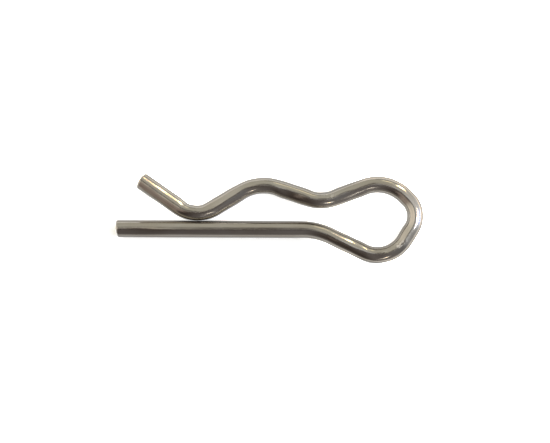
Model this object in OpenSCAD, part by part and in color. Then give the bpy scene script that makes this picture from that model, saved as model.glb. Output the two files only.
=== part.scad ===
// Snap pin: one round spring wire, bent flat, with sheared ends.
// The straight leg goes through the cross hole of a shaft, and the hump of
// the sprung leg closes round the outside of that shaft.
// Every bend is formed round a pin: the wire runs straight from one pin to the
// next, along their common tangent, so a bend is given by the place of its pin
// and by its radius at the middle of the wire.
// Lengths along the wire are measured from the cut end of the straight leg.

/* [Wire] */
// Diameter of the round wire
wire_d = 4; // [3.2:0.1:4.4]
// Angle of the sheared ends from a square cut
shear_angle = 5; // [1:1:10]
// Edge rolled over by the shear, on both ends
end_break = 0.4; // [0.1:0.1:0.8]

/* [Straight leg] */
// Straight length of the leg, from its cut end to the jog
leg_len = 45.2; // [43:0.1:46]
// Bend radius of the jog, where the leg turns out to the head
jog_r = 15.5; // [10:0.5:16]

/* [Shaft seat] */
// Diameter of the shaft that the hump goes round
shaft_d = 16; // [14:0.5:16.5]
// Play between the shaft and the hump, all round
shaft_play = 0.6; // [0.2:0.1:0.8]
// Middle of the shaft, from the cut end of the leg
shaft_x = 35.7; // [35.2:0.1:36.2]

/* [Kink and tail] */
// Place where the sprung leg closes on the straight leg
kink_x = 19.6; // [17:0.1:20]
// Bend radius of the kink
kink_r = 8.2; // [6:0.1:8.5]
// Gap left between the kink and the straight leg
kink_gap = 0.05; // [0.05:0.05:0.5]
// Angle of the flared tail to the straight leg
tail_angle = 34.5; // [20:0.5:50]
// Straight length of the tail
tail_len = 11.3; // [6:0.1:18]

/* [Notch] */
// Place of the notch between the shaft and the head
notch_x = 49.6; // [49.3:0.1:50]
// Bend radius of the notch
notch_r = 9.4; // [7:0.1:9.6]
// Height of the wire at the notch over the axis of the straight leg
notch_rise = 7.1; // [6.8:0.1:8]

/* [Head] */
// Middle of the head along the leg
head_x = 63.3; // [63:0.1:67]
// Middle of the head over the axis of the straight leg
head_y = 1.6; // [1:0.1:1.8]
// Bend radius at the top of the head
top_r = 9.4; // [9:0.1:9.8]
// Bend radius at the nose of the head
nose_r = 5.8; // [5.4:0.1:6]
// Bend radius at the bottom of the head
bottom_r = 7.7; // [7:0.1:8]
// Direction of the nose from the middle of the head
nose_angle = 28; // [15:1:30]
// Straight wire between the top bend and the nose bend
nose_flat = 1.1; // [1:0.1:3]

/* [Hidden] */
$fn = 96;

hump_r = shaft_d / 2 + shaft_play + wire_d / 2;
head = [head_x, head_y];
nose_off = norm([top_r - nose_r, nose_flat]);

// the forming pins, in order along the wire: [centre, radius at the wire's
// middle, +1 where the wire turns left and -1 where it turns right]
pins = [
    [[leg_len, -jog_r], jog_r, -1],
    [head, bottom_r, 1],
    [head + nose_off * [cos(nose_angle), sin(nose_angle)], nose_r, 1],
    [head, top_r, 1],
    [[notch_x, notch_rise + notch_r], notch_r, -1],
    [[shaft_x, 0], hump_r, 1],
    [[kink_x, wire_d + kink_gap + kink_r], kink_r, -1]
];
last = len(pins) - 1;

// the straight run from pin i to the next one
function across(i) = pins[i + 1][0] - pins[i][0];
function offset_k(i) = pins[i + 1][2] * pins[i + 1][1] - pins[i][2] * pins[i][1];
function run_dir(i) = atan2(across(i).y, across(i).x) - asin(offset_k(i) / norm(across(i)));
function run_len(i) = sqrt(pow(norm(across(i)), 2) - pow(offset_k(i), 2));

// direction and length of every straight run, from the leg to the tail
dirs = [0, for (i = [0 : last - 1]) run_dir(i), 180 - tail_angle];
lens = [leg_len, for (i = [0 : last - 1]) run_len(i), tail_len];

// angle turned at pin i, between 0 and a full turn, with the pin's own sign
function wrap(a) = a - 360 * floor(a / 360);
function turned(i) = pins[i][2] * wrap(pins[i][2] * (dirs[i + 1] - dirs[i]));

// a turn is taken to the nearby step, within 0.006 degrees, whose cosine and
// sine come closest to a true unit length at six decimals, so that the wire
// keeps one diameter from run to run
function six(v) = round(v * 1e6) / 1e6;
function off_unit(a) = abs(pow(six(cos(a)), 2) + pow(six(sin(a)), 2) - 1);
function nearest_step(a) =
    let (near = [for (j = [-60 : 60]) a + j * 1e-4],
         least = min([for (x = near) off_unit(x)]))
    [for (x = near) if (off_unit(x) == least) x][0];
turns = [for (i = [0 : last]) nearest_step(turned(i))];

// a straight run of wire along +X from the origin
module straight(l) {
    rotate([0, 90, 0]) cylinder(h = l, d = wire_d);
}

// a run with a sheared end at the origin: the edge is rolled over, and the cut
// leans from that edge across the whole end
module cut_run(l) {
    difference() {
        union() {
            rotate([0, 90, 0]) cylinder(h = end_break, d1 = wire_d - 2 * end_break, d2 = wire_d);
            translate([end_break, 0, 0]) straight(l - end_break);
        }
        translate([0, wire_d / 2 - end_break, 0]) rotate(shear_angle)
            translate([-4 * wire_d, -2 * wire_d, -2 * wire_d]) cube(4 * wire_d);
    }
}

// carries its children to the end of bend i
module past_bend(i) {
    translate([0, pins[i][2] * pins[i][1], 0]) rotate(turns[i])
        translate([0, -pins[i][2] * pins[i][1], 0]) children();
}

// bend i from the origin, first along +X: the wire is turned round the pin a
// hair too far, and trimmed square where the next run starts
module bend(i) {
    big = 4 * (pins[i][1] + wire_d);
    difference() {
        mirror([0, pins[i][2] < 0 ? 1 : 0, 0]) translate([0, pins[i][1], 0])
            rotate_extrude(angle = abs(turns[i]) + 0.001, start = -90)
                translate([pins[i][1], 0]) circle(d = wire_d);
        past_bend(i) translate([0, -big / 2, -big / 2]) cube(big);
    }
}

// the wire from run i on to the tail
module wire_from(i) {
    if (i == 0) cut_run(lens[i]);
    else if (i <= last) straight(lens[i]);
    else translate([lens[i], 0, 0]) rotate(180) cut_run(lens[i]);
    if (i <= last) translate([lens[i], 0, 0]) {
        bend(i);
        past_bend(i) wire_from(i + 1);
    }
}

module snap_pin() {
    color([0.60, 0.57, 0.52])
        translate([-shaft_x, 0, wire_d / 2]) wire_from(0);
}

snap_pin();
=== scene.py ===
import math

import bpy
import numpy as np
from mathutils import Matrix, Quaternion, Vector


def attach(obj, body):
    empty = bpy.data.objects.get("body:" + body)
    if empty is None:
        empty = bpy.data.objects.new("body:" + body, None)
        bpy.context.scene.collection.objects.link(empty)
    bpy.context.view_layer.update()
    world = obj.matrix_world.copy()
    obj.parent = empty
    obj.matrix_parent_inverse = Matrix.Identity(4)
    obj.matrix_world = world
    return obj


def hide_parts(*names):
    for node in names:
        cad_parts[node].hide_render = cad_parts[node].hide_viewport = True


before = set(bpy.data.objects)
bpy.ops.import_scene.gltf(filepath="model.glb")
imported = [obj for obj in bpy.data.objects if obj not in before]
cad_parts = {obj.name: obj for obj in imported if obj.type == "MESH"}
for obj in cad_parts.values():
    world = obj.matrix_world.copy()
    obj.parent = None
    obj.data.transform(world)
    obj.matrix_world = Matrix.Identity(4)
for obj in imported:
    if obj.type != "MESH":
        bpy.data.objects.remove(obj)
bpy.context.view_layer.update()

MM = 0.001

# ---------------------------------------------------------------------------
# The wire's path. Millimetres, measured from the cut end of the straight leg,
# with the same forming pins as the CAD part. The part's own origin is the
# middle of the shaft, SHAFT_X along the leg.
# ---------------------------------------------------------------------------
WIRE_D = 4.0
R = WIRE_D / 2
SHAFT_X = 35.7
LEG_LEN, JOG_R = 45.2, 15.5
HEAD = (63.3, 1.6)
TOP_R, NOSE_R, BOTTOM_R = 9.4, 5.8, 7.7
NOSE_ANGLE, NOSE_FLAT = 28.0, 1.1
NOTCH_X, NOTCH_R, NOTCH_RISE = 49.6, 9.4, 7.1
HUMP_R = 10.6
KINK_X, KINK_R, KINK_GAP = 19.6, 8.2, 0.05
TAIL_ANGLE, TAIL_LEN = 34.5, 11.3

nose_off = math.hypot(TOP_R - NOSE_R, NOSE_FLAT)
nose = (HEAD[0] + nose_off * math.cos(math.radians(NOSE_ANGLE)),
        HEAD[1] + nose_off * math.sin(math.radians(NOSE_ANGLE)))
# name, centre, radius at the wire's middle, +1 turns left
PINS = [
    ("jog", (LEG_LEN, -JOG_R), JOG_R, -1),
    ("bottom", HEAD, BOTTOM_R, 1),
    ("nose", nose, NOSE_R, 1),
    ("top", HEAD, TOP_R, 1),
    ("notch", (NOTCH_X, NOTCH_RISE + NOTCH_R), NOTCH_R, -1),
    ("hump", (SHAFT_X, 0.0), HUMP_R, 1),
    ("kink", (KINK_X, WIRE_D + KINK_GAP + KINK_R), KINK_R, -1),
]


def wire_runs():
    """Straight runs and bends in order: (kind, start s, length, start point, direction, radius, sign, name)."""
    heads, lengths = [0.0], [LEG_LEN]
    for (_, c1, r1, s1), (_, c2, r2, s2) in zip(PINS, PINS[1:]):
        vx, vy = c2[0] - c1[0], c2[1] - c1[1]
        d = math.hypot(vx, vy)
        k = s2 * r2 - s1 * r1
        heads.append(math.atan2(vy, vx) - math.asin(k / d))
        lengths.append(math.sqrt(d * d - k * k))
    heads.append(math.radians(180 - TAIL_ANGLE))
    lengths.append(TAIL_LEN)
    runs, s, p = [], 0.0, np.array([0.0, 0.0])
    for i, (h, ln) in enumerate(zip(heads, lengths)):
        runs.append(("run", s, ln, p.copy(), h, 0.0, 0, ""))
        p = p + ln * np.array([math.cos(h), math.sin(h)])
        s += ln
        if i < len(PINS):
            name, _, r, sign = PINS[i]
            turn = (heads[i + 1] - h) % (2 * math.pi)
            if sign < 0:
                turn -= 2 * math.pi
            runs.append(("bend", s, abs(turn) * r, p.copy(), h, r, sign, name))
            left = np.array([-math.sin(h), math.cos(h)])
            c = p + sign * r * left
            h2 = h + turn
            p = c - sign * r * np.array([-math.sin(h2), math.cos(h2)])
            s += abs(turn) * r
    return runs, s


RUNS, LENGTH = wire_runs()
BEND = {r[7]: (r[1], r[1] + r[2], r[6]) for r in RUNS if r[0] == "bend"}


def at(s):
    """Point and heading of the wire's middle, at length s."""
    for kind, s0, ln, p, h, r, sign, _ in RUNS:
        if s <= s0 + ln + 1e-9 or kind is RUNS[-1][0] and s0 == RUNS[-1][1]:
            u = s - s0
            if kind == "run":
                return p + u * np.array([math.cos(h), math.sin(h)]), h
            h2 = h + sign * u / r
            c = p + sign * r * np.array([-math.sin(h), math.cos(h)])
            return c - sign * r * np.array([-math.sin(h2), math.cos(h2)]), h2
    kind, s0, ln, p, h, *_ = RUNS[-1]
    return p + (s - s0) * np.array([math.cos(h), math.sin(h)]), h


def smooth(x, a, b):
    t = np.clip((np.asarray(x, float) - a) / (b - a), 0, 1)
    return t * t * (3 - 2 * t)


def over(s, name, soft):
    """1 along a bend, easing to 0 over soft mm on both sides of it."""
    a, b, _ = BEND[name]
    if name == "kink":                   # its forming pin bit hard, on a short stretch
        a, b = a + 2.6, b - 1.4
    return smooth(s, a - soft, a + soft * 0.6) * (1 - smooth(s, b - soft * 0.6, b + soft))


# ---------------------------------------------------------------------------
# The wire's section: round where it is straight, pressed a little out of
# round where it was bent. Inner is the side that lay on the forming pin.
# ---------------------------------------------------------------------------
#        name      inner  outer  eases over
PRESSED = [
    ("jog",    0.05, 0.04, 2.5),
    ("bottom", 0.07, 0.06, 2.0),
    ("nose",   0.08, 0.06, 1.5),
    ("top",    0.07, 0.05, 2.0),
    ("notch",  0.12, 0.06, 1.8),
    ("hump",   0.12, 0.08, 2.0),
    ("kink",   0.36, -0.03, 2.0),
]
# the forming tool's bites and flats: s, angle round the wire (0 left of travel, 90 top), length, width in degrees,
# depth, how scuffed
DENTS = [
    (70.3, 78, 1.0, 16, 0.035, 2.4),
    (71.4, 87, 0.8, 15, 0.040, 2.4),
    (5.0, 103, 8.0, 38, 0.130, 0.0),
    (63.6, 102, 5.2, 36, 0.200, 0.0),
    (100.4, 72, 5.6, 42, 0.165, 0.0),
    (108.0, 74, 3.6, 38, 0.050, 0.0),
    (113.4, 72, 5.0, 42, 0.185, 0.0),
    (124.5, 77, 5.0, 31, 0.085, 0.0),
    (103.6, 112, 1.2, 16, 0.030, 1.0),
    (104.8, 128, 0.8, 12, 0.025, 1.0),
    (136.0, 60, 2.4, 9, 0.022, 1.0),
    (137.4, 40, 1.5, 9, 0.020, 1.0),
    (146.0, 113, 6.0, 32, 0.060, 0.0),
    (66.6, 76, 1.2, 12, 0.020, 1.0),
    (57.8, 67, 3.0, 26, 0.060, 0.0),
    (107.0, 172, 1.6, 40, 0.050, 0.3),
]


WAVES = []
_rng = np.random.default_rng(7)
for _ in range(36):
    WAVES.append((_rng.uniform(0.25, 1.5) * _rng.choice((-1, 1)), int(_rng.integers(0, 4)), _rng.uniform(0, 2 * math.pi), _rng.uniform(0.5, 1.0)))


def waviness(s, a):
    """Between 0 and 1, on features of about 2 to 10 mm."""
    w = sum(amp * np.cos(k * s + m * a + ph) for k, m, ph, amp in WAVES)
    return np.clip(0.5 + w / (3.0 * math.sqrt(len(WAVES))), 0, 1)


def section(s, a):
    """In-plane (left of travel) and upward distance from the wire's middle, mm, for arrays of s and angle."""
    ca, sa = np.cos(a), np.sin(a)
    left = np.full(np.broadcast(s, a).shape, R)
    right = left.copy()
    for name, inner, outer, soft in PRESSED:
        w = over(s, name, soft)
        sign = BEND[name][2]
        left = left - w * (inner if sign > 0 else outer)
        right = right - w * (outer if sign > 0 else inner)
    # a drawn wire is never quite round: a very slight oval that wanders along it
    lean = 0.9 * np.sin(s / 23.0 + 0.6) + 0.7 * np.sin(s / 9.1)
    slack = 0.006 * (1 + np.cos(2 * (a - lean)))
    rad = R - slack - (0.010 + 0.040 * smooth(s, 44, 54)) * waviness(s, a)
    for s0, deg, ln, wid, deep, _ in DENTS:
        d = (np.degrees(a) - deg + 180) % 360 - 180
        rad = rad - deep * np.exp(-(((s - s0) / ln) ** 2) * 2 - ((d / wid) ** 2) * 2)
    p = np.where(ca > 0, left, right) * ca * rad / R
    q = sa * rad
    return p, q


NA = 72
ROLL = 0.22     # rounded rim of a cut end


def leg_cut(p):
    """How far the sheared leg end is set back, by place across it."""
    return 0.01 + np.where(p > 0.4, 0.10 * ((p - 0.4) / 1.6) ** 2, 0.50 * (np.abs(0.4 - p) / 2.4) ** 1.5)


def tail_cut(p):
    """The same for the tail, where p > 0 is its lower side: bowed out, and worn more at the corners."""
    return 0.06 + np.where(p < -0.2, 0.30 * (np.clip(-0.2 - p, 0, None) / 1.8) ** 2,
                           0.52 * (np.clip(p + 0.2, 0, None) / 2.2) ** 1.8)


def end_rings():
    """From the middle of a cut end outwards: (radius share, set back, is face)."""
    rings = [(k / 11 * (R - ROLL), 0.0, True) for k in range(1, 12)]
    for k in range(1, 7):
        th = k / 6 * math.pi / 2
        rings.append((R - ROLL + ROLL * math.sin(th), ROLL * (1 - math.cos(th)), False))
    return rings


def build_wire():
    ang = np.radians(-90 + np.arange(NA) * 360 / NA)
    inner = np.concatenate([
        np.linspace(ROLL, 3.0, 16)[1:-1],
        np.linspace(3.0, LENGTH - 3.0, 940),
        np.linspace(LENGTH - 3.0, LENGTH - ROLL, 16)[1:-1],
    ])
    rings = []                           # (s, radius share, set back at leg end, at tail end, is face)
    ends = end_rings()
    for rad, back, face in ends:
        rings.append((back, rad / R, 1.0, 0.0, 1.0 if face else 0.35))
    for s in inner:
        rings.append((s, 1.0, float(1 - smooth(s, 0, 3.0)), float(smooth(s, LENGTH - 3.0, LENGTH)), 0.0))
    for rad, back, face in reversed(ends):
        rings.append((LENGTH - back, rad / R, 0.0, 1.0, 1.0 if face else 0.35))
    rng = np.random.default_rng(20)
    verts, coords, face_w, torn_w = [], [], [], []
    for s, share, w0, w1, face in rings:
        p, q = section(np.full(NA, s), ang)
        p, q = p * share, q * share
        along = s + w0 * leg_cut(p) - w1 * tail_cut(p)
        torn = np.zeros(NA)
        if face > 0:
            ragged = 0.12 * np.sin(2.1 * q + 0.7) + 0.06 * np.sin(5.3 * q + (1.9 if w0 else 0.4))
            torn = smooth((-p if w0 else p) + ragged, -0.15, 0.45)
        if face >= 1.0:                  # the broken half of a sheared face is rough and lies deeper, the cut half has faint steps
            grain = rng.normal(0, 1, NA)
            grain = (grain + np.roll(grain, 1) + np.roll(grain, -1)) / 3
            rough = np.minimum(share / 0.3, 1) * (0.045 * torn * grain + 0.008 * np.sin(q * 9.0))
            deep = np.abs(rough) + 0.07 * torn
            along = along + (deep if w0 else -deep)
        for j in range(NA):
            pt, h = at(float(np.clip(along[j], 0, LENGTH)))
            n = (-math.sin(h), math.cos(h))
            verts.append((pt[0] - SHAFT_X + p[j] * n[0], pt[1] + p[j] * n[1], R + q[j]))
            coords.append((along[j], p[j], q[j]))
            face_w.append(face)
            torn_w.append(torn[j])
    nr = len(rings)
    faces = []
    for i in range(nr - 1):
        for j in range(NA):
            k = (j + 1) % NA
            faces.append((i * NA + j, (i + 1) * NA + j, (i + 1) * NA + k, i * NA + k))
    mids = []
    for i, s, cut, w in ((0, 0.0, leg_cut, 1), (nr - 1, LENGTH, tail_cut, -1)):
        torn = float(smooth(0.0, -0.15, 0.45))
        along = s + w * (float(cut(np.array(0.0))) + 0.07 * torn)
        pt, h = at(along)
        verts.append((pt[0] - SHAFT_X, pt[1], R))
        coords.append((along, 0.0, 0.0))
        face_w.append(1.0)
        torn_w.append(torn)
        mids.append(len(verts) - 1)
    for j in range(NA):
        k = (j + 1) % NA
        faces.append((mids[0], j, k))
        faces.append((mids[1], (nr - 1) * NA + k, (nr - 1) * NA + j))
    mesh = bpy.data.meshes.new("snap_pin_wire")
    mesh.from_pydata([(x * MM, y * MM, z * MM) for x, y, z in verts], [], faces)
    mesh.update()

    co = np.array(coords, np.float32)
    attr = mesh.attributes.new("wire_co", "FLOAT_VECTOR", "POINT")
    attr.data.foreach_set("vector", co.ravel())
    attr = mesh.attributes.new("cut_face", "FLOAT", "POINT")
    attr.data.foreach_set("value", np.array(face_w, np.float32))
    attr = mesh.attributes.new("torn_face", "FLOAT", "POINT")
    attr.data.foreach_set("value", np.array(torn_w, np.float32))
    # where the tools rubbed: inner side of each bend, the dents, and the two places that rub when the pin is used
    s, a = co[:, 0], np.arctan2(co[:, 2], co[:, 1])
    rub = np.zeros(len(co))
    for name, _, _, soft in PRESSED:
        side = 0.0 if BEND[name][2] > 0 else math.pi
        d = np.abs((a - side + math.pi) % (2 * math.pi) - math.pi)
        rub = np.maximum(rub, over(s, name, soft) * np.exp(-((d / 0.75) ** 2)) * 0.55)
    for s0, deg, ln, wid, _, scuffed in DENTS:
        d = (np.degrees(a) - deg + 180) % 360 - 180
        rub = np.maximum(rub, scuffed * np.exp(-(((s - s0) / ln) ** 2) - (d / wid) ** 2))
    for s0, deg, ln in ((KINK_X, 0, 2.2), ((BEND["kink"][0] + BEND["kink"][1]) / 2 + 0.6, 0, 2.0)):
        d = (np.degrees(a) - deg + 180) % 360 - 180
        rub = np.maximum(rub, 0.8 * np.exp(-(((s - s0) / ln) ** 2) - (d / 30) ** 2))
    attr = mesh.attributes.new("tool_rub", "FLOAT", "POINT")
    attr.data.foreach_set("value", rub.astype(np.float32))

    # an even map: the wall rolled out in three rows, the two cut ends as discs
    girth = 2 * math.pi * R
    row_len = LENGTH / 3
    scale = 0.96 / row_len
    uv = mesh.uv_layers.new(name="OFBake")
    flat = np.zeros((len(mesh.loops), 2), np.float32)
    n_end = len(ends)
    for f, poly in enumerate(mesh.polygons):
        loops = list(poly.loop_indices)
        if f < (nr - 1) * NA:
            i, j = divmod(f, NA)
            if n_end - 1 <= i < nr - n_end:
                mid = (rings[i][0] + rings[i + 1][0]) / 2
                row = min(2, int(mid / row_len))
                for li, (ri, jj) in zip(loops, ((i, j), (i + 1, j), (i + 1, j + 1), (i, j + 1))):
                    flat[li] = (0.02 + (rings[ri][0] - row * row_len) * scale,
                                0.02 + row * (girth * scale + 0.02) + jj / NA * girth * scale)
                continue
        tail = (f < (nr - 1) * NA and f // NA > nr / 2) or (f >= (nr - 1) * NA and (f - (nr - 1) * NA) % 2 == 1)
        for li in loops:
            v = mesh.loops[li].vertex_index
            _, p, q = coords[v]
            ring = v // NA
            spread = 1.0
            if v < nr * NA:                # the rolled rim opens out flat, so that no two faces share a place
                k = ring if not tail else nr - 1 - ring
                spread = (k + 1) / 17 * 1.15 * R / max(1e-6, math.hypot(p, q)) if math.hypot(p, q) > 1e-6 else 1.0
            flat[li] = ((0.86 if tail else 0.70) + p * spread * scale * 1.2, 0.90 + q * spread * scale * 1.2)
    uv.data.foreach_set("uv", flat.ravel())

    mesh.polygons.foreach_set("use_smooth", [True] * len(mesh.polygons))
    mesh.update()
    obj = bpy.data.objects.new("snap_pin_wire", mesh)
    bpy.context.scene.collection.objects.link(obj)
    return obj


wire = build_wire()


# ---------------------------------------------------------------------------
# Drawn steel: a warm grey metal with fine lines along the wire, faint darker
# streaks, blotchy tint, scuffed where the forming tools rubbed, and dull,
# grainy cut ends.
# ---------------------------------------------------------------------------
class Nodes:
    def __init__(self, tree):
        self.tree = tree

    def new(self, kind, **props):
        n = self.tree.nodes.new(kind)
        for k, v in props.items():
            setattr(n, k, v)
        return n

    def link(self, a, b):
        self.tree.links.new(a, b)

    def put(self, socket, value):
        if isinstance(value, bpy.types.NodeSocket):
            self.link(value, socket)
        else:
            socket.default_value = value

    def math(self, op, a, b=0.0, c=0.0, clamp=False):
        n = self.new("ShaderNodeMath", operation=op, use_clamp=clamp)
        for sock, v in zip(n.inputs, (a, b, c)):
            self.put(sock, v)
        return n.outputs[0]

    def ramp(self, value, lo, hi, out_lo=0.0, out_hi=1.0, smooth_step=True):
        n = self.new("ShaderNodeMapRange")
        n.interpolation_type = "SMOOTHSTEP" if smooth_step else "LINEAR"
        for k, v in (("Value", value), ("From Min", lo), ("From Max", hi), ("To Min", out_lo), ("To Max", out_hi)):
            self.put(n.inputs[k], v)
        return n.outputs[0]

    def mix(self, fac, a, b, blend="MIX"):
        n = self.new("ShaderNodeMix", data_type="RGBA", blend_type=blend)
        self.put(n.inputs[0], fac)
        self.put(n.inputs[6], a)
        self.put(n.inputs[7], b)
        return n.outputs[2]

    def noise(self, vec, scale, stretch, detail=3.0, rough=0.5, offset=(0, 0, 0)):
        m = self.new("ShaderNodeMapping")
        m.inputs["Scale"].default_value = stretch
        m.inputs["Location"].default_value = offset
        self.link(vec, m.inputs["Vector"])
        n = self.new("ShaderNodeTexNoise", noise_dimensions="3D")
        self.link(m.outputs[0], n.inputs["Vector"])
        n.inputs["Scale"].default_value = scale
        n.inputs["Detail"].default_value = detail
        n.inputs["Roughness"].default_value = rough
        return n.outputs["Fac"]


def drawn_steel():
    mat = bpy.data.materials.new("drawn_steel")
    mat.use_nodes = True
    g = Nodes(mat.node_tree)
    bsdf = next(n for n in mat.node_tree.nodes if n.type == "BSDF_PRINCIPLED")
    co = g.new("ShaderNodeAttribute", attribute_name="wire_co").outputs["Vector"]
    cut = g.new("ShaderNodeAttribute", attribute_name="cut_face").outputs["Fac"]
    torn = g.new("ShaderNodeAttribute", attribute_name="torn_face").outputs["Fac"]
    rub = g.new("ShaderNodeAttribute", attribute_name="tool_rub").outputs["Fac"]

    lines = g.noise(co, 5.0, (0.03, 1.0, 1.0), 4.0, 0.62)                    # fine drawing lines
    streak = g.noise(co, 1.5, (0.035, 1.0, 1.0), 3.0, 0.55, (7, 3, 1))       # broader streaks
    blotch = g.noise(co, 0.22, (0.5, 1.0, 1.0), 3.0, 0.6, (2, 9, 4))         # tint that drifts along the wire
    grain = g.noise(co, 7.0, (1.0, 1.0, 1.0), 3.0, 0.65, (5, 1, 8))          # grain of scuffs and broken metal
    scratch = g.noise(co, 2.6, (0.35, 1.0, 1.0), 2.0, 0.5, (1, 6, 2))
    blade = g.noise(co, 4.0, (0.2, 0.12, 1.6), 3.0, 0.6, (3, 4, 6))          # lines that the shear's blade left on the ends

    tone = g.ramp(blotch, 0.30, 0.70)
    colour = g.mix(tone, (0.401, 0.368, 0.318, 1), (0.435, 0.409, 0.369, 1))
    dark = g.ramp(streak, 0.48, 0.72, 0.0, 0.35)
    colour = g.mix(dark, colour, (0.311, 0.271, 0.231, 1))
    fine = g.ramp(lines, 0.35, 0.70, 0.0, 0.22)
    colour = g.mix(fine, colour, (0.311, 0.282, 0.246, 1))
    scuff = g.math("MULTIPLY", rub, g.ramp(scratch, 0.45, 0.62))
    colour = g.mix(g.math("MULTIPLY", scuff, 0.6), colour, (0.60, 0.571, 0.528, 1))
    broken = g.mix(g.ramp(grain, 0.35, 0.65), (0.20, 0.184, 0.166, 1), (0.40, 0.380, 0.345, 1))
    sheared = g.mix(g.ramp(blade, 0.35, 0.65), (0.40, 0.378, 0.342, 1), (0.55, 0.525, 0.485, 1))
    colour = g.mix(cut, colour, g.mix(torn, sheared, broken))
    g.link(colour, bsdf.inputs["Base Color"])

    rough = g.ramp(lines, 0.3, 0.7, 0.105, 0.17)
    rough = g.math("ADD", rough, g.ramp(streak, 0.45, 0.75, 0.0, 0.06))
    rough = g.math("ADD", rough, g.math("MULTIPLY", scuff, 0.26))
    rough = g.math("ADD", rough, g.math("MULTIPLY", cut, g.ramp(torn, 0.0, 1.0, 0.08, 0.30)), clamp=True)
    g.link(rough, bsdf.inputs["Roughness"])
    bsdf.inputs["Metallic"].default_value = 1.0
    bsdf.inputs["Specular Tint"].default_value = (0.42, 0.42, 0.42, 1)      # a thin dull skin: less shine at a glancing angle

    height = g.math("ADD", g.math("MULTIPLY", lines, 0.55), g.math("MULTIPLY", streak, 0.45))
    on_end = g.math("MULTIPLY", cut, g.ramp(torn, 0.0, 1.0, 0.4, 3.0))
    pits = g.math("MULTIPLY", grain, g.math("ADD", g.math("MULTIPLY", scuff, 0.5), on_end))
    height = g.math("ADD", height, pits)
    height = g.math("ADD", height, g.math("MULTIPLY", cut, g.math("MULTIPLY", blade, 1.2)))
    bump = g.new("ShaderNodeBump")
    bump.inputs["Strength"].default_value = 0.35
    bump.inputs["Distance"].default_value = 0.00004
    g.link(height, bump.inputs["Height"])
    g.link(bump.outputs[0], bsdf.inputs["Normal"])
    return mat


steel = drawn_steel()
wire.data.materials.append(steel)
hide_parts("snap_pin")
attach(wire, "root")

# ---------------------------------------------------------------------------
# Floor, light and camera
# ---------------------------------------------------------------------------
floor_mesh = bpy.data.meshes.new("floor")
floor_mesh.from_pydata([(-3, -3, 0), (3, -3, 0), (3, 3, 0), (-3, 3, 0)], [], [(0, 1, 2, 3)])
floor = bpy.data.objects.new("floor", floor_mesh)
bpy.context.scene.collection.objects.link(floor)
paper = bpy.data.materials.new("floor_paper_painted_glow")
paper.use_nodes = True
pb = next(n for n in paper.node_tree.nodes if n.type == "BSDF_PRINCIPLED")
pb.inputs["Base Color"].default_value = (0.38, 0.38, 0.378, 1)
pb.inputs["Roughness"].default_value = 0.18
pb.inputs["Specular IOR Level"].default_value = 0.5
pb.inputs["Emission Color"].default_value = (1.0, 1.0, 0.995, 1)          # painted light: the floor glows a little, as if a light table lit it from below
fg = Nodes(paper.node_tree)                                               # painted light and shade: the glow is raised in pools under the head and past the hump, and kept lower in spots
where = fg.new("ShaderNodeSeparateXYZ")
fg.link(fg.new("ShaderNodeTexCoord").outputs["Object"], where.inputs[0])


def pool(x0, y0, near, far, least, beyond=1.0):
    """A painted pool in the floor's glow: least within near metres of a place on the floor, another value beyond far.
    """
    dx, dy = fg.math("SUBTRACT", where.outputs[0], x0), fg.math("SUBTRACT", where.outputs[1], y0)
    away = fg.math("SQRT", fg.math("ADD", fg.math("MULTIPLY", dx, dx), fg.math("MULTIPLY", dy, dy)))
    return fg.ramp(away, near, far, least, beyond)


# painted light: extra glow on the floor round the head; spots below the head, inside the loop and near the notch keep
# less glow, as painted shade
painted_glow_under_head = fg.math("MULTIPLY", fg.ramp(where.outputs[0], 0.008, 0.020), pool(0.025, -0.0125, 0.004, 0.007, 0.0))
painted_glow_under_head = fg.math("MULTIPLY", painted_glow_under_head, pool(0.0285, 0.0025, 0.0055, 0.009, 0.12))
painted_glow_under_head = fg.math("MULTIPLY", painted_glow_under_head, pool(0.014, 0.014, 0.006, 0.011, 0.0))
# painted light: extra glow above the hump, and a pool between the tail and the leg that hides the pin's shadow there
painted_glow_past_hump = fg.math("MULTIPLY", fg.ramp(where.outputs[1], 0.008, 0.014), pool(0.012, 0.014, 0.007, 0.012, 0.0))
painted_glow_past_hump = fg.math("MAXIMUM", painted_glow_past_hump, pool(-0.020, 0.0115, 0.004, 0.010, 1.2, 0.0))
# painted shade: the glow is lower in front of the leg than behind it, so the leg's front rim reflects a darker floor
painted_glow_base = fg.ramp(where.outputs[1], -0.001, 0.003, 0.40, 0.48)
painted_floor_glow = fg.math("MAXIMUM", fg.math("MULTIPLY", painted_glow_under_head, 0.55), fg.math("MULTIPLY", painted_glow_past_hump, 0.25))
painted_floor_glow = fg.math("ADD", painted_floor_glow, painted_glow_base)
fg.link(painted_floor_glow, pb.inputs["Emission Strength"])
floor_mesh.materials.append(paper)

LIGHT = 1.10


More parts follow.
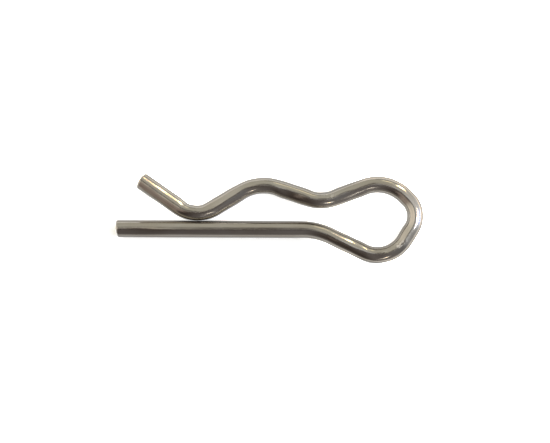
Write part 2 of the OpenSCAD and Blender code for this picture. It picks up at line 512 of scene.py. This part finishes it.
def soft_room():
    """A soft tent of light: warm on the left, dimmer behind, cool on the right, and open and dark towards the front."""
    world = bpy.data.worlds.new("soft_room")
    bpy.context.scene.world = world
    world.use_nodes = True
    g = Nodes(world.node_tree)
    back = next(n for n in world.node_tree.nodes if n.type == "BACKGROUND")
    xyz = g.new("ShaderNodeSeparateXYZ")
    g.link(g.new("ShaderNodeTexCoord").outputs["Generated"], xyz.inputs[0])
    x, y, z = xyz.outputs
    turn = g.math("ARCTAN2", x, g.math("MULTIPLY", y, -1.0))         # 0 towards the front, + to the right
    far = g.math("ABSOLUTE", turn)
    low = g.math("ARCCOSINE", z)                                      # angle from overhead
    # the cloth: left, back, right
    left_col = g.mix(g.ramp(far, math.radians(38), math.radians(66)), (0.44, 0.365, 0.33, 1), (1.20, 1.165, 1.06, 1))
    left_col = g.mix(g.ramp(far, math.radians(100), math.radians(165)), left_col, (0.70, 0.688, 0.615, 1))
    right_col = g.mix(g.ramp(far, math.radians(44), math.radians(84)), (0.24, 0.24, 0.25, 1), (1.06, 1.10, 1.16, 1))
    back_right = g.mix(g.ramp(low, 1.15, 1.50), (0.70, 0.688, 0.615, 1), (0.44, 0.43, 0.385, 1))
    right_col = g.mix(g.ramp(far, math.radians(112), math.radians(150)), right_col, back_right)
    tent = g.mix(g.ramp(x, -0.03, 0.03), left_col, right_col)
    # a tall, cool window-like part on the right, down to the floor
    bay = g.math("MULTIPLY", g.ramp(turn, 1.13, 1.40), g.ramp(turn, 1.72, 1.98, 1.0, 0.0))
    bay = g.math("MULTIPLY", bay, g.ramp(low, 0.40, 0.80))
    tent = g.mix(bay, tent, (1.36, 1.50, 1.86, 1))
    # the open front: a dark wedge whose point reaches a little past overhead
    ahead = g.ramp(turn, -0.42, 0.25)
    front = g.mix(ahead, (0.075, 0.058, 0.050, 1), (0.250, 0.233, 0.237, 1))
    front = g.mix(g.ramp(low, 1.08, 1.50), front, g.mix(ahead, (0.20, 0.186, 0.178, 1), (0.40, 0.385, 0.378, 1)))
    reach = g.math("SUBTRACT", 0.21, y)
    left_edge = g.math("SUBTRACT", reach, g.math("MULTIPLY", x, g.ramp(low, 0.40, 0.98, -3.1, -1.80)))
    right_edge = g.math("SUBTRACT", reach, g.math("MULTIPLY", x, g.ramp(low, 0.45, 1.05, 3.1, 1.80)))
    inside = g.math("MINIMUM", left_edge, right_edge)
    soft = g.ramp(low, 0.0, 0.9, 0.10, 0.13)
    lit = g.ramp(g.math("DIVIDE", inside, soft), -1.0, 1.0, 1.0, 0.0)
    room = g.mix(lit, front, tent)
    # the gap in the tent overhead, which the camera looks through
    ex = g.math("DIVIDE", x, 0.066)
    ey = g.math("DIVIDE", g.math("SUBTRACT", y, 0.10), 0.40)
    gap = g.math("ADD", g.math("MULTIPLY", ex, ex), g.math("MULTIPLY", ey, ey))
    room = g.mix(g.ramp(gap, 0.4, 1.5, 1.0, 0.0), room, (0.13, 0.115, 0.11, 1))
    g.link(room, back.inputs["Color"])
    back.inputs["Strength"].default_value = LIGHT


soft_room()


def panel(name, azimuth, polar, wide, tall, radiance, colour, twist=0.0, distance=1.0):
    """A flat soft light, seen from the pin in that direction (azimuth from +X, polar from overhead)."""
    data = bpy.data.lights.new(name, "AREA")
    data.shape = "RECTANGLE"
    data.size, data.size_y = wide, tall
    data.color = colour
    data.energy = math.pi * radiance * wide * tall * LIGHT
    lamp = bpy.data.objects.new(name, data)
    bpy.context.scene.collection.objects.link(lamp)
    az, po = math.radians(azimuth), math.radians(polar)
    d = Vector((math.sin(po) * math.cos(az), math.sin(po) * math.sin(az), math.cos(po)))
    lamp.location = d * distance
    lamp.rotation_mode = "QUATERNION"
    lamp.rotation_quaternion = d.to_track_quat("Z", "Y") @ Quaternion((0, 0, 1), math.radians(twist))
    return lamp


panel("right_softbox", -1, 37, 0.24, 0.40, 6.0, (0.97, 0.99, 1.0), twist=30)
panel("warm_strip", 54, 60, 0.52, 1.62, 2.6, (1.0, 0.965, 0.85), distance=3.0)
panel("warm_strip_far", 72, 65, 0.20, 0.22, 0.95, (1.0, 0.93, 0.62))
panel("front_lamp", -74, 46, 0.13, 0.13, 3.3, (1.0, 0.965, 0.87))

SCALE = WIRE_D / 16.5            # mm to a pixel of the 550 x 443 picture
DISTANCE = 0.46
cam_data = bpy.data.cameras.new("camera")
cam = bpy.data.objects.new("camera", cam_data)
bpy.context.scene.collection.objects.link(cam)
cam_data.sensor_width = 36.0
cam_data.lens = 36.0 * DISTANCE / (550 * SCALE * MM)
cam_data.clip_start, cam_data.clip_end = 0.01, 10.0
cam.location = (2.73 * MM, 1.92 * MM, R * MM + DISTANCE)
cam.rotation_euler = (0, 0, math.radians(0.29))
bpy.context.scene.camera = cam

bpy.context.scene.view_settings.view_transform = "Standard"
bpy.context.scene.view_settings.look = "None"
# the picture's whites are lifted, as in a product photo, so that the paper comes out white
tones = bpy.context.scene.view_settings
tones.use_curve_mapping = True
curve = tones.curve_mapping.curves[3]
curve.points[0].location = (0.0, 0.0)
curve.points[1].location = (1.0, 1.08)
for at_x, to_y in ((0.25, 0.25), (0.46, 0.47), (0.53, 0.57), (0.60, 0.76), (0.68, 1.0)):
    curve.points.new(at_x, to_y)
tones.curve_mapping.update()
